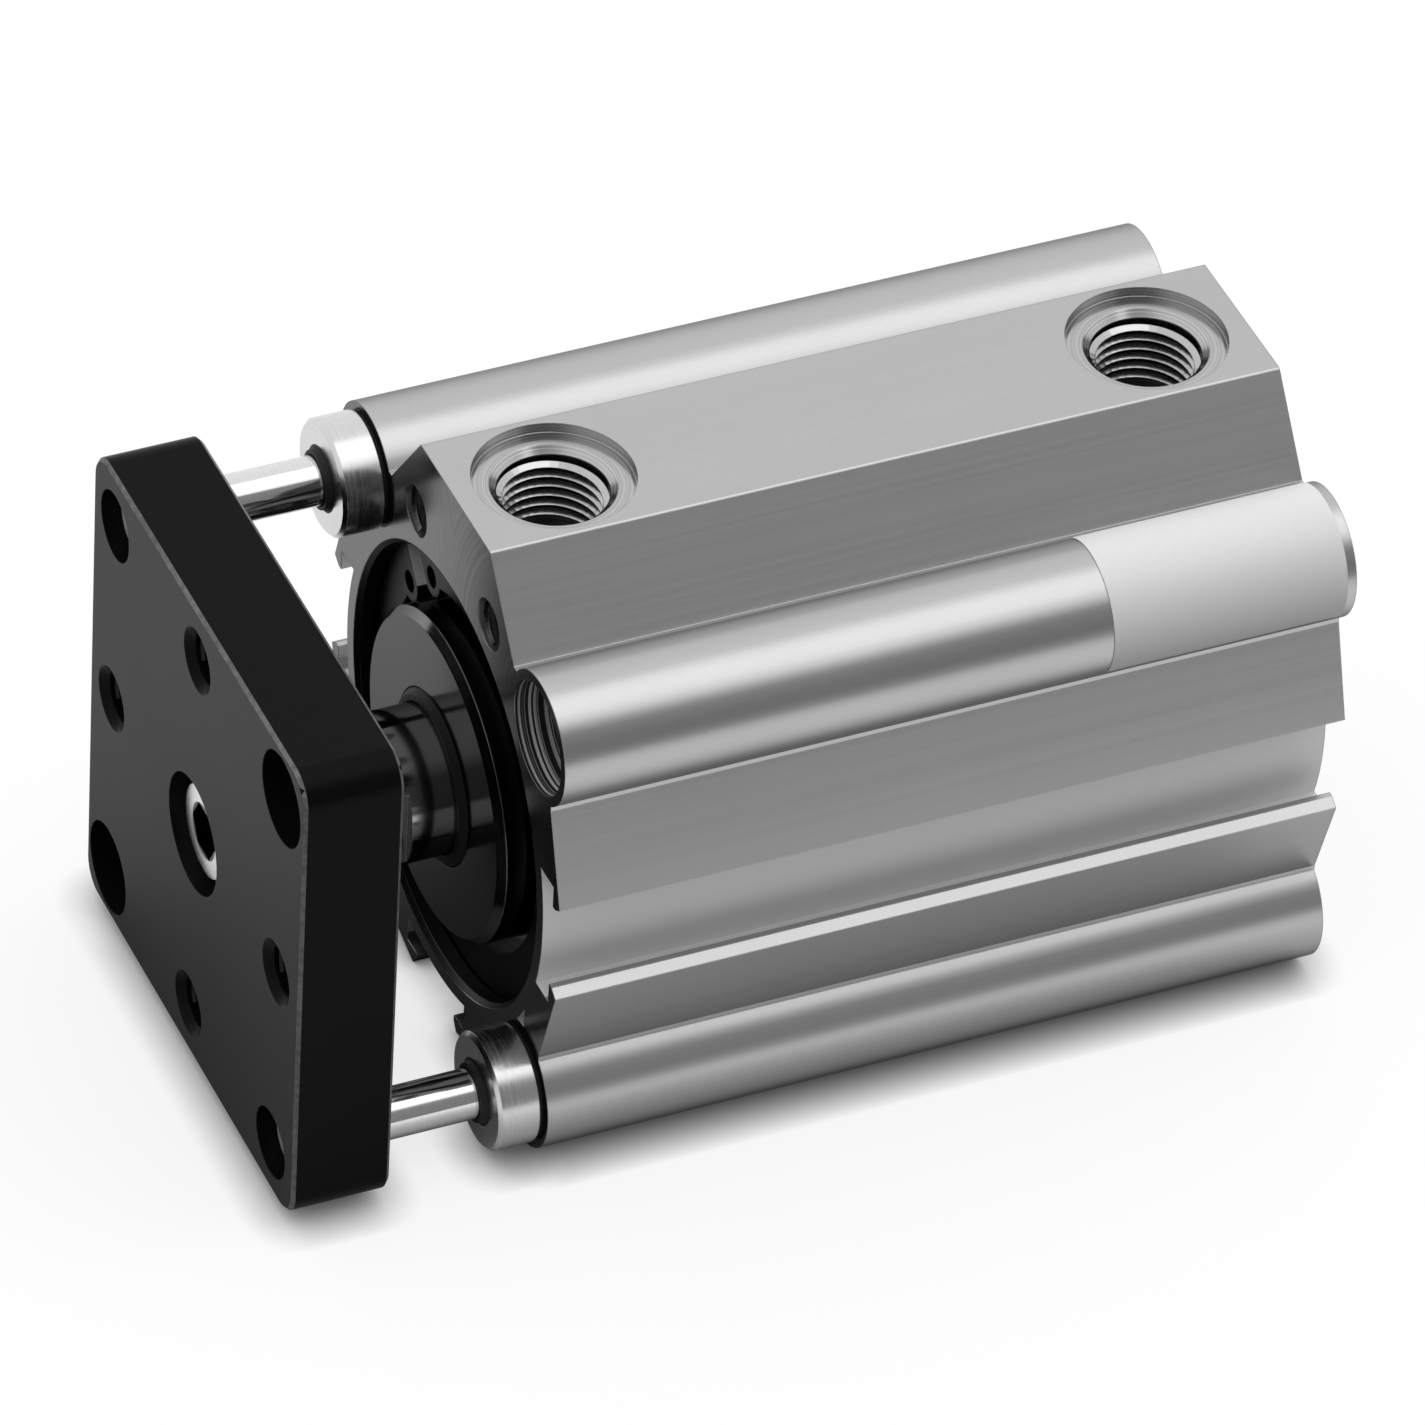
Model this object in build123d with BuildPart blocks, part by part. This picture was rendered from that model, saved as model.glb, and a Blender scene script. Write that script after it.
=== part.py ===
from build123d import *
import os

# Short-stroke pneumatic cylinder with two guide rods and a front plate.
# The frame: +X is the way the piston rod comes out, +Z points to the port platform, and the
# origin is on the cylinder's axis in the body's front face. The body lies at x < 0.
# The slide is drawn fully retracted. All lengths are in millimetres.

# Bore, stroke and rods
BORE = 32.0
STROKE = 25.0
ROD = 12.0
GUIDE_ROD = 4.0

# Extruded body
SIDE = 45.0                 # across the lips of two opposite rails
LOBE_PITCH = 34.0           # between neighbouring corner lobes, also the hole pattern
LOBE_RADIUS = 5.3
BARREL_RADIUS = 19.6        # round outside of the tube, seen as the floor of the rails
PLATFORM_TOP = 27.0         # port platform above the axis
PLATFORM_WIDTH = 13.6
PLATFORM_FOOT_WIDTH = 24.2
PLATFORM_EDGE = 0.3
STEP_FACE = 20.0            # face that the flanks run down to, beside each lobe
FLANK_END = 12.2            # where a rail's flank meets that face, from the middle of the side
LIP_GAP = 7.7
LIP_EDGE = 4.4              # outer edge of a lip, from the middle of the side
LIP_THICKNESS = 1.3
LIP_NOSE = 0.8              # depth of the bevel between a lip's outer edge and its nose
RAIL_CAVITY = 11.4          # width behind the lips

# Ends of the body
RECESS = 36.0
RECESS_DEPTH = 7.5
RECESS_EDGE = 0.4
HEAD_DEPTH = 11.5           # from an end face to the inner face of its cover
CIRCLIP_SETBACK = 1.6
CIRCLIP_THICKNESS = 1.4
CIRCLIP_GROOVE_WIDTH = 1.5
CIRCLIP_GROOVE = 37.4
CIRCLIP_WIDTH = 4.2
CIRCLIP_GAP = 2.2
CIRCLIP_EYE_RADIUS = 1.6
CIRCLIP_EYE_HOLE = 0.9
CIRCLIP_EYE_ANGLE = 10.5    # from the gap to the middle of either eye
CIRCLIP_ANGLE = 131.0       # where the ring's gap stands, from +Y towards +Z

# Holes in the body
LOBE_HOLE = 5.2             # core of an M6 thread
LOBE_THREAD_DEPTH = 17.0    # in the rear ends of the two guide lobes
GUIDE_CHANNEL = 4.8
COUNTERBORE = 9.0
COUNTERBORE_DEPTH = 6.0
PORT_INSET = 8.0            # port centre from its end face
PORT_SPOTFACE = 12.6
PORT_SPOTFACE_DEPTH = 0.9
PORT_HOLE = 8.6             # core of a G1/8 thread
PORT_MOUTH = 9.8
PORT_FLOOR = 19.2           # bottom of the port above the axis
FEED_HOLE = 2.8
FEED_OFFSET = 2.0           # feed hole from the port centre, towards the middle
SCREW_CHANNEL = 4.2         # extruded right through, core of an M5 thread at both ends
SCREW_CHANNEL_SPACING = 14.4
SCREW_CHANNEL_HEIGHT = 20.3

# Covers
BOSS = 26.6
BOSS_STAND = 0.9            # boss of the front cover, proud of the body
REAR_BOSS_SETBACK = 0.4
BOSS_EDGE = 0.6
HUB = 28.0                  # thinner end that leaves the air a way round
SPIGOT_LENGTH = 0.8
FIT = 0.1                   # radial clearance of covers and rings in their seats
COVER_SEAL_SETBACK = 1.1
COVER_SEAL_WIDTH = 2.4
COVER_SEAL_HEIGHT = 2.0
REAR_DIMPLE = 5.0
REAR_DIMPLE_DEPTH = 1.2

# Rod seal, wiper and bearing
WIPER_MOUTH = 14.2
WIPER_MOUTH_DEPTH = 1.2
WIPER_SEAT = 17.2
WIPER_SEAT_WIDTH = 2.3
WIPER_LIP_STAND = 0.5
ROD_LAND_CLEARANCE = 0.15
ROD_LAND_WIDTH = 1.0
ROD_SEAL_SEAT = 18.0
ROD_SEAL_WIDTH = 3.0
ROD_BEARING_WALL = 1.5
ROD_BEARING_LENGTH = 4.3
RUNNING = 0.04              # radial clearance of a shaft in its bearing
SEAL_RUNNING = 0.07         # radial clearance left at a seal's lip
RING_PLAY = 0.1             # play of a ring in its groove

# Piston and bumpers
PISTON_LENGTH = 16.0
PISTON_CLEARANCE = 0.2
PISTON_EDGE = 0.5
PISTON_LAND = 1.4
PISTON_SEAL_WIDTH = 2.8
PISTON_SEAL_DEPTH = 2.6
PISTON_WEB = 1.1
MAGNET_WIDTH = 2.6
MAGNET_DEPTH = 2.8
GUIDE_RING_WIDTH = 2.2
GUIDE_RING_DEPTH = 1.0
SPIGOT = 8.0
SCREW_RECESS = 12.0
SCREW_RECESS_DEPTH = 4.6
STATIC_SEAL_SETBACK = 2.0
STATIC_SEAL_WIDTH = 1.8
STATIC_SEAL_HEIGHT = 1.2
BUMPER_INNER = 17.0
BUMPER_OUTER = 23.0
BUMPER_DEPTH = 1.0
BUMPER_STAND = 0.4
END_CLEARANCE = 0.1

# Front plate
PLATE_SIDE = 43.0
PLATE_CORNER = 2.5
PLATE_THICKNESS = 8.0
PLATE_GAP = 12.5            # from the body's face to the plate, retracted
PLATE_EDGE = 0.3
ACCESS_HOLE = 7.6
LOAD_HOLE = 4.2             # core of an M5 thread
LOAD_HOLE_MOUTH = 5.4
ROD_FLAT = 10.0             # across the two wrench flats
ROD_FLAT_LENGTH = 6.0
ROD_FLAT_SETBACK = 1.5
ROD_EDGE = 0.5
GUIDE_ROD_EDGE = 0.4
GUIDE_ROD_END = 19.0        # end of a guide rod from the body's rear face, retracted
GUIDE_SOCKET_DEPTH = 3.0

# Screws: diameter, head, socket across flats
ROD_SCREW = 5.0
ROD_SCREW_LENGTH = 16.0
ROD_SCREW_HEAD = 8.5
ROD_SCREW_HEAD_HEIGHT = 5.0
ROD_SCREW_SOCKET = 4.0
ROD_SCREW_COUNTERBORE = 9.8
ROD_SCREW_SETBACK = 0.9
PISTON_SCREW_HEAD = 11.0
PISTON_SCREW_HEAD_HEIGHT = 3.6
PISTON_SCREW_LENGTH = 14.0
GUIDE_SCREW = 2.5
GUIDE_SCREW_LENGTH = 8.0
GUIDE_SCREW_HEAD = 4.5
GUIDE_SCREW_HEAD_HEIGHT = 2.5
GUIDE_SCREW_SOCKET = 2.0
GUIDE_SCREW_COUNTERBORE = 5.8
GUIDE_SCREW_SETBACK = 1.3
SCREW_PLAY = 0.05           # radial gap of a shank in its tapped hole, thread left out
SCREW_CLEARANCE = 0.25      # radial gap of a shank in a plain hole
SOCKET_DEPTH_SHARE = 0.5    # hex socket, as a share of the head's height
HEAD_BEVEL_SHARE = 0.1
TAPPED_SPARE = 1.0

# Guide bushes
GUIDE_FLANGE = 9.4
GUIDE_FLANGE_LENGTH = 3.3
GUIDE_FLANGE_EDGE = 0.3
GUIDE_GASKET = 0.4
GUIDE_GASKET_DIAMETER = 8.8
GUIDE_SPIGOT = 7.6
GUIDE_SPIGOT_LENGTH = 14.0
GUIDE_LINER_WALL = 0.8
GUIDE_WIPER_SEAT = 5.4
GUIDE_WIPER_WIDTH = 1.5
GUIDE_WIPER_LIP = 5.0
GUIDE_WIPER_STAND = 0.5
GUIDE_FIT = 0.03

# Places that follow from the sizes above
BODY_LENGTH = 2 * (HEAD_DEPTH + BUMPER_STAND + END_CLEARANCE) + STROKE + PISTON_LENGTH
LOBE = LOBE_PITCH / 2
SHOULDER = -RECESS_DEPTH
CIRCLIP_FRONT = -CIRCLIP_SETBACK
CIRCLIP_SEAT = CIRCLIP_FRONT - CIRCLIP_GROOVE_WIDTH
COVER_INNER = -HEAD_DEPTH
PISTON_FRONT = COVER_INNER - BUMPER_STAND - END_CLEARANCE - STROKE
PISTON_REAR = PISTON_FRONT - PISTON_LENGTH
PLATE_REAR = PLATE_GAP
PLATE_FRONT = PLATE_GAP + PLATE_THICKNESS
ACCESS_CENTRES = [(LOBE, LOBE), (-LOBE, -LOBE)]
GUIDE_CENTRES = {"upper": (-LOBE, LOBE), "lower": (LOBE, -LOBE)}

# Helpers


def along(centre=(0, 0)):
    """Plane of the cylinder's axis, or one beside it: its own x is +X, its own y is +Z."""
    return Plane(origin=(0, centre[0], centre[1]), x_dir=(1, 0, 0), z_dir=(0, -1, 0))


def turned(*points, centre=(0, 0), mode=Mode.ADD):
    """Turn a closed outline of (x, radius) points about an axis along X."""
    with BuildSketch(along(centre)) as outline:
        with BuildLine():
            Polyline(*points, close=True)
        make_face()
    revolve(outline.sketch, axis=Axis((0, centre[0], centre[1]), (1, 0, 0)), mode=mode)


def ring_points(x_front, x_rear, inner, outer):
    """Outline of a plain ring, from its two ends and its two radii."""
    return [(x_front, inner), (x_front, outer), (x_rear, outer), (x_rear, inner)]


def rod_points(x_front, x_rear, radius, edge):
    """Outline of a round bar with a bevel at both ends."""
    return [
        (x_front, 0),
        (x_front, radius - edge),
        (x_front - edge, radius),
        (x_rear + edge, radius),
        (x_rear, radius - edge),
        (x_rear, 0),
    ]


def mirrored_ends(points):
    """The same outline at the other end of the body."""
    return [(-BODY_LENGTH - x, radius) for x, radius in points]


def finish(builder, name):
    """Name a piece and write it out."""
    builder.part.label = name
    export_step(builder.part, f"parts/{name}.step")


os.makedirs("parts", exist_ok=True)

# Body section: tube, four lobes, three rails and the port platform


def rail_outline():
    """One side of the section, facing +Y: two lips and the cavity that they close in."""
    half = [
        (LOBE, LOBE),
        (STEP_FACE, LOBE),
        (STEP_FACE, FLANK_END),
        (SIDE / 2, LIP_EDGE),
        (SIDE / 2 - LIP_NOSE, LIP_GAP / 2),
        (SIDE / 2 - LIP_THICKNESS, LIP_GAP / 2),
        (SIDE / 2 - LIP_THICKNESS, RAIL_CAVITY / 2),
        (LOBE, RAIL_CAVITY / 2),
    ]
    return half + [(y, -z) for y, z in reversed(half)]


def platform_outline():
    """The raised strip that carries the two ports."""
    half = [(PLATFORM_WIDTH / 2, PLATFORM_TOP), (PLATFORM_FOOT_WIDTH / 2, STEP_FACE), (LOBE, STEP_FACE), (LOBE, 0)]
    return half + [(-y, z) for y, z in reversed(half)]


with BuildPart() as cylinder_body:
    with BuildSketch(Plane.YZ) as section:
        Circle(BARREL_RADIUS)
        with GridLocations(LOBE_PITCH, LOBE_PITCH, 2, 2):
            Circle(LOBE_RADIUS)
        with BuildLine():
            Polyline(*platform_outline(), close=True)
        make_face()
        with PolarLocations(0, 3, start_angle=-180, angular_range=180, endpoint=True):
            Polygon(*rail_outline(), align=None)
        top_corners = section.vertices().group_by(Axis.Y)[-1]
        fillet(top_corners, PLATFORM_EDGE)
    extrude(amount=-BODY_LENGTH)

    # Bore, with a recess, a bevel and a circlip groove at each end
    recess_outline = [
        (0, 0),
        (0, RECESS / 2 + RECESS_EDGE),
        (-RECESS_EDGE, RECESS / 2),
        (CIRCLIP_FRONT, RECESS / 2),
        (CIRCLIP_FRONT, CIRCLIP_GROOVE / 2),
        (CIRCLIP_SEAT, CIRCLIP_GROOVE / 2),
        (CIRCLIP_SEAT, RECESS / 2),
        (SHOULDER, RECESS / 2),
        (SHOULDER, BORE / 2),
        (-BODY_LENGTH / 2, BORE / 2),
        (-BODY_LENGTH / 2, 0),
    ]
    turned(*recess_outline, mode=Mode.SUBTRACT)
    turned(*mirrored_ends(recess_outline), mode=Mode.SUBTRACT)

    # Holes through the lobes: two for long screws, two for the guide rods and their bushes
    lobe_cuts = [
        (ACCESS_CENTRES, LOBE_HOLE / 2, 0, BODY_LENGTH),
        (ACCESS_CENTRES, COUNTERBORE / 2, 0, COUNTERBORE_DEPTH),
        (GUIDE_CENTRES.values(), GUIDE_CHANNEL / 2, 0, BODY_LENGTH),
        (GUIDE_CENTRES.values(), GUIDE_SPIGOT / 2 + GUIDE_FIT, 0, GUIDE_SPIGOT_LENGTH + RING_PLAY),
        (GUIDE_CENTRES.values(), LOBE_HOLE / 2, BODY_LENGTH - LOBE_THREAD_DEPTH, LOBE_THREAD_DEPTH),
    ]
    for centres, radius, start, depth in lobe_cuts:
        with BuildSketch(Plane.YZ.offset(-start)):
            with Locations(*centres):
                Circle(radius)
        extrude(amount=-depth, mode=Mode.SUBTRACT)

    # Two screw channels below the platform's edges, on either side of the ports
    with BuildSketch(Plane.YZ):
        with Locations((0, SCREW_CHANNEL_HEIGHT)):
            with GridLocations(SCREW_CHANNEL_SPACING, 0, 2, 1):
                Circle(SCREW_CHANNEL / 2)
    extrude(amount=-BODY_LENGTH, mode=Mode.SUBTRACT)

    # Ports, each with a feed hole that opens beside its cover
    port_centres = [(-PORT_INSET, 0), (-BODY_LENGTH + PORT_INSET, 0)]
    feed_centres = [(-PORT_INSET - FEED_OFFSET, 0), (-BODY_LENGTH + PORT_INSET + FEED_OFFSET, 0)]
    with BuildSketch(Plane.XY.offset(PLATFORM_TOP)):
        with Locations(*port_centres):
            Circle(PORT_SPOTFACE / 2)
    extrude(amount=-PORT_SPOTFACE_DEPTH, mode=Mode.SUBTRACT)
    with BuildSketch(Plane.XY.offset(PORT_FLOOR)):
        with Locations(*port_centres):
            Circle(PORT_HOLE / 2)
    extrude(amount=PLATFORM_TOP - PORT_FLOOR, mode=Mode.SUBTRACT)
    port_bevel = (PORT_MOUTH - PORT_HOLE) / 2
    with BuildSketch(Plane.XY.offset(PLATFORM_TOP - PORT_SPOTFACE_DEPTH)):
        with Locations(*port_centres):
            Circle(PORT_MOUTH / 2)
    extrude(amount=-port_bevel, taper=45, mode=Mode.SUBTRACT)
    feed_foot = BORE / 2 - FEED_HOLE
    with BuildSketch(Plane.XY.offset(feed_foot)):
        with Locations(*feed_centres):
            Circle(FEED_HOLE / 2)
    extrude(amount=PORT_FLOOR - feed_foot, mode=Mode.SUBTRACT)
finish(cylinder_body, "cylinder_body")

# Covers: the front one carries the rod's bearing and seals, the rear one is closed

seal_front = CIRCLIP_SEAT - COVER_SEAL_SETBACK
seal_rear = seal_front - COVER_SEAL_WIDTH
cover_radius = RECESS / 2 - FIT
spigot_radius = BORE / 2 - FIT
spigot_end = SHOULDER - SPIGOT_LENGTH


def cover_outline(boss_face):
    """Outside of a cover, from the middle of its boss to the middle of its inner face."""
    return [
        (boss_face, 0),
        (boss_face, BOSS / 2 - BOSS_EDGE),
        (boss_face - BOSS_EDGE, BOSS / 2),
        (CIRCLIP_SEAT, BOSS / 2),
        (CIRCLIP_SEAT, cover_radius),
        (seal_front, cover_radius),
        (seal_front, RECESS / 2 - COVER_SEAL_HEIGHT),
        (seal_rear, RECESS / 2 - COVER_SEAL_HEIGHT),
        (seal_rear, cover_radius),
        (SHOULDER, cover_radius),
        (SHOULDER, spigot_radius),
        (spigot_end, spigot_radius),
        (spigot_end, HUB / 2),
        (COVER_INNER, HUB / 2),
        (COVER_INNER, 0),
    ]


bumper_seat = COVER_INNER + BUMPER_DEPTH
bumper_groove = ring_points(bumper_seat, COVER_INNER, BUMPER_INNER / 2, BUMPER_OUTER / 2)
wiper_front = BOSS_STAND - WIPER_MOUTH_DEPTH
wiper_rear = wiper_front - WIPER_SEAT_WIDTH
rod_seal_front = wiper_rear - ROD_LAND_WIDTH
rod_seal_rear = rod_seal_front - ROD_SEAL_WIDTH
rod_bearing_front = COVER_INNER + ROD_BEARING_LENGTH
rod_land = ROD / 2 + ROD_LAND_CLEARANCE
rod_bearing_outer = ROD / 2 + ROD_BEARING_WALL

with BuildPart() as front_cover:
    turned(*cover_outline(BOSS_STAND))
    turned(
        (BOSS_STAND, 0),
        (BOSS_STAND, WIPER_MOUTH / 2),
        (wiper_front, WIPER_MOUTH / 2),
        (wiper_front, WIPER_SEAT / 2),
        (wiper_rear, WIPER_SEAT / 2),
        (wiper_rear, rod_land),
        (rod_seal_front, rod_land),
        (rod_seal_front, ROD_SEAL_SEAT / 2),
        (rod_seal_rear, ROD_SEAL_SEAT / 2),
        (rod_seal_rear, rod_land),
        (rod_bearing_front, rod_land),
        (rod_bearing_front, rod_bearing_outer),
        (COVER_INNER, rod_bearing_outer),
        (COVER_INNER, 0),
        mode=Mode.SUBTRACT,
    )
    turned(*bumper_groove, mode=Mode.SUBTRACT)
finish(front_cover, "front_cover")

with BuildPart() as rear_cover:
    turned(*mirrored_ends(cover_outline(-REAR_BOSS_SETBACK)))
    turned(*mirrored_ends(bumper_groove), mode=Mode.SUBTRACT)
    with BuildSketch(Plane.YZ.offset(-BODY_LENGTH + REAR_BOSS_SETBACK)):
        Circle(REAR_DIMPLE / 2)
    extrude(amount=REAR_DIMPLE_DEPTH, mode=Mode.SUBTRACT)
finish(rear_cover, "rear_cover")

cover_seal_ring = ring_points(
    seal_front - RING_PLAY,
    seal_rear + RING_PLAY,
    RECESS / 2 - COVER_SEAL_HEIGHT + GUIDE_FIT,
    RECESS / 2 - GUIDE_FIT,
)
bumper_ring = ring_points(
    bumper_seat,
    COVER_INNER - BUMPER_STAND,
    BUMPER_INNER / 2 + RING_PLAY,
    BUMPER_OUTER / 2 - RING_PLAY,
)
ends = {"front": lambda points: points, "rear": mirrored_ends}
for end, place in ends.items():
    with BuildPart() as cover_seal:
        turned(*place(cover_seal_ring))
    finish(cover_seal, f"{end}_cover_seal")
    with BuildPart() as bumper:
        turned(*place(bumper_ring))
    finish(bumper, f"{end}_bumper")

# Circlips: open rings with two eyes for the pliers, inside the recesses
circlip_outer = CIRCLIP_GROOVE / 2 - FIT
eye_centre = BOSS / 2 + CIRCLIP_EYE_RADIUS + 2 * FIT
circlip_rears = {"front": CIRCLIP_SEAT, "rear": -BODY_LENGTH - CIRCLIP_SEAT - CIRCLIP_THICKNESS}
for end, circlip_rear in circlip_rears.items():
    with BuildPart() as circlip:
        with BuildSketch(Plane.YZ.offset(circlip_rear)):
            Circle(circlip_outer)
            Circle(circlip_outer - CIRCLIP_WIDTH, mode=Mode.SUBTRACT)
            with PolarLocations(
                eye_centre,
                2,
                start_angle=CIRCLIP_ANGLE - CIRCLIP_EYE_ANGLE,
                angular_range=2 * CIRCLIP_EYE_ANGLE,
                endpoint=True,
            ):
                Circle(CIRCLIP_EYE_RADIUS)
                Circle(CIRCLIP_EYE_HOLE, mode=Mode.SUBTRACT)
            with PolarLocations(RECESS / 2, 1, start_angle=CIRCLIP_ANGLE):
                Rectangle(RECESS / 2, CIRCLIP_GAP, mode=Mode.SUBTRACT)
        extrude(amount=CIRCLIP_THICKNESS)
    finish(circlip, f"{end}_circlip")

# Rod bearing, seal and wiper in the front cover
with BuildPart() as rod_bearing:
    turned(*ring_points(rod_bearing_front, COVER_INNER, ROD / 2 + RUNNING, rod_bearing_outer - GUIDE_FIT))
finish(rod_bearing, "rod_bearing")

rod_lip = ROD / 2 + SEAL_RUNNING
rod_seal_middle = (rod_seal_front + rod_seal_rear) / 2
with BuildPart() as rod_seal:
    turned(
        (rod_seal_front - RING_PLAY, rod_lip + RING_PLAY),
        (rod_seal_front - RING_PLAY, ROD_SEAL_SEAT / 2 - RING_PLAY),
        (rod_seal_rear + RING_PLAY, ROD_SEAL_SEAT / 2 - RING_PLAY),
        (rod_seal_middle, (ROD + ROD_SEAL_SEAT) / 4),
        (rod_seal_rear + RING_PLAY, rod_lip),
    )
finish(rod_seal, "rod_seal")

with BuildPart() as rod_wiper:
    turned(
        (BOSS_STAND + WIPER_LIP_STAND, rod_lip),
        (BOSS_STAND + WIPER_LIP_STAND, rod_lip + WIPER_LIP_STAND),
        (BOSS_STAND, WIPER_MOUTH / 2 - RING_PLAY),
        (wiper_front - RING_PLAY, WIPER_MOUTH / 2 - RING_PLAY),
        (wiper_front - RING_PLAY, WIPER_SEAT / 2 - RING_PLAY),
        (wiper_rear + RING_PLAY, WIPER_SEAT / 2 - RING_PLAY),
        (wiper_rear + RING_PLAY, rod_lip + WIPER_LIP_STAND),
    )
finish(rod_wiper, "rod_wiper")

# Guide bushes: flanged steel sleeve, sliding liner, wiper and gasket for each guide rod
flange_rear = GUIDE_GASKET
flange_front = flange_rear + GUIDE_FLANGE_LENGTH
liner_front = flange_front - GUIDE_WIPER_WIDTH
liner_outer = GUIDE_ROD / 2 + RUNNING + GUIDE_LINER_WALL
guide_lip = GUIDE_ROD / 2 + SEAL_RUNNING
for side, centre in GUIDE_CENTRES.items():
    with BuildPart() as guide_bush:
        turned(
            (flange_front, GUIDE_WIPER_SEAT / 2),
            (flange_front, GUIDE_FLANGE / 2 - GUIDE_FLANGE_EDGE),
            (flange_front - GUIDE_FLANGE_EDGE, GUIDE_FLANGE / 2),
            (flange_rear, GUIDE_FLANGE / 2),
            (flange_rear, GUIDE_SPIGOT / 2),
            (-GUIDE_SPIGOT_LENGTH, GUIDE_SPIGOT / 2),
            (-GUIDE_SPIGOT_LENGTH, liner_outer),
            (liner_front, liner_outer),
            (liner_front, GUIDE_WIPER_SEAT / 2),
            centre=centre,
        )
    finish(guide_bush, f"guide_bush_{side}")
    with BuildPart() as guide_liner:
        turned(
            *ring_points(liner_front, -GUIDE_SPIGOT_LENGTH, GUIDE_ROD / 2 + RUNNING, liner_outer - GUIDE_FIT),
            centre=centre,
        )
    finish(guide_liner, f"guide_liner_{side}")
    with BuildPart() as guide_wiper:
        turned(
            (flange_front + GUIDE_WIPER_STAND, guide_lip),
            (flange_front + GUIDE_WIPER_STAND, guide_lip + GUIDE_FLANGE_EDGE),
            (flange_front, GUIDE_WIPER_LIP / 2),
            (flange_front, GUIDE_WIPER_SEAT / 2 - GUIDE_FIT),
            (liner_front, GUIDE_WIPER_SEAT / 2 - GUIDE_FIT),
            (liner_front, guide_lip + RING_PLAY),
            centre=centre,
        )
    finish(guide_wiper, f"guide_wiper_{side}")
    with BuildPart() as guide_gasket:
        turned(
            *ring_points(GUIDE_GASKET, 0, GUIDE_SPIGOT / 2 + GUIDE_FIT, GUIDE_GASKET_DIAMETER / 2),
            centre=centre,
        )
    finish(guide_gasket, f"guide_gasket_{side}")

# Slide: front plate, piston rod and guide rods
rod_screw_seat = PLATE_FRONT - ROD_SCREW_SETBACK - ROD_SCREW_HEAD_HEIGHT
guide_screw_seat = PLATE_FRONT - GUIDE_SCREW_SETBACK - GUIDE_SCREW_HEAD_HEIGHT
guide_socket_floor = PLATE_REAR + GUIDE_SOCKET_DEPTH
with BuildPart() as front_plate:
    with BuildSketch(Plane.YZ.offset(PLATE_REAR)):
        RectangleRounded(PLATE_SIDE, PLATE_SIDE, PLATE_CORNER)
    extrude(amount=PLATE_THICKNESS)
    rims = front_plate.faces().filter_by(Axis.X).edges()
    chamfer(rims, PLATE_EDGE)
    with Locations(Plane.YZ.offset(PLATE_FRONT)):
        CounterBoreHole(
            radius=ROD_SCREW / 2 + SCREW_CLEARANCE,
            counter_bore_radius=ROD_SCREW_COUNTERBORE / 2,
            counter_bore_depth=PLATE_FRONT - rod_screw_seat,
        )
        with Locations(*GUIDE_CENTRES.values()):
            CounterBoreHole(
                radius=GUIDE_SCREW / 2 + SCREW_CLEARANCE,
                counter_bore_radius=GUIDE_SCREW_COUNTERBORE / 2,
                counter_bore_depth=PLATE_FRONT - guide_screw_seat,
            )
        with Locations(*ACCESS_CENTRES):
            Hole(radius=ACCESS_HOLE / 2)
        with PolarLocations(LOBE, 4):
            CounterSinkHole(radius=LOAD_HOLE / 2, counter_sink_radius=LOAD_HOLE_MOUTH / 2)
    with BuildSketch(Plane.YZ.offset(PLATE_REAR)):
        with Locations(*GUIDE_CENTRES.values()):
            Circle(GUIDE_ROD / 2 + GUIDE_FIT)
    extrude(amount=GUIDE_SOCKET_DEPTH, mode=Mode.SUBTRACT)
finish(front_plate, "front_plate")

spigot_length = PISTON_LENGTH - SCREW_RECESS_DEPTH - 2 * RING_PLAY
rod_tip = PISTON_FRONT - spigot_length
screw_radius = ROD_SCREW / 2
tapped_radius = screw_radius + SCREW_PLAY
rod_screw_end = rod_screw_seat - ROD_SCREW_LENGTH
piston_screw_seat = PISTON_REAR + SCREW_RECESS_DEPTH
piston_screw_end = piston_screw_seat + PISTON_SCREW_LENGTH
with BuildPart() as piston_rod:
    turned(
        (PLATE_REAR, 0),
        (PLATE_REAR, ROD / 2 - ROD_EDGE),
        (PLATE_REAR - ROD_EDGE, ROD / 2),
        (PISTON_FRONT, ROD / 2),
        (PISTON_FRONT, SPIGOT / 2),
        (rod_tip, SPIGOT / 2),
        (rod_tip, 0),
    )
    turned(*ring_points(PLATE_REAR, rod_screw_end - TAPPED_SPARE, 0, tapped_radius), mode=Mode.SUBTRACT)
    turned(*ring_points(piston_screw_end + TAPPED_SPARE, rod_tip, 0, tapped_radius), mode=Mode.SUBTRACT)
    with BuildSketch(Plane.YZ.offset(PLATE_REAR - ROD_FLAT_SETBACK - ROD_FLAT_LENGTH)):
        Circle(ROD / 2 + RING_PLAY)
        Rectangle(ROD_FLAT, 2 * ROD, mode=Mode.SUBTRACT)
    extrude(amount=ROD_FLAT_LENGTH, mode=Mode.SUBTRACT)
finish(piston_rod, "piston_rod")


def cap_screw(head_front, seat, end, head, shank, socket, centre=(0, 0), facing=1):
    """Socket-head screw along X. Facing is 1 where the head looks along +X, else -1."""
    bevel = (head_front - seat) * HEAD_BEVEL_SHARE
    turned(
        (head_front, 0),
        (head_front, head / 2 - facing * bevel),
        (head_front - bevel, head / 2),
        (seat, head / 2),
        (seat, shank / 2),
        (end, shank / 2),
        (end, 0),
        centre=centre,
    )
    with BuildSketch(Plane.YZ.offset(head_front)) as hexagon:
        with Locations(centre):
            RegularPolygon(socket / 2, 6, major_radius=False)
    extrude(hexagon.sketch, amount=-(head_front - seat) * SOCKET_DEPTH_SHARE, mode=Mode.SUBTRACT)


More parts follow.
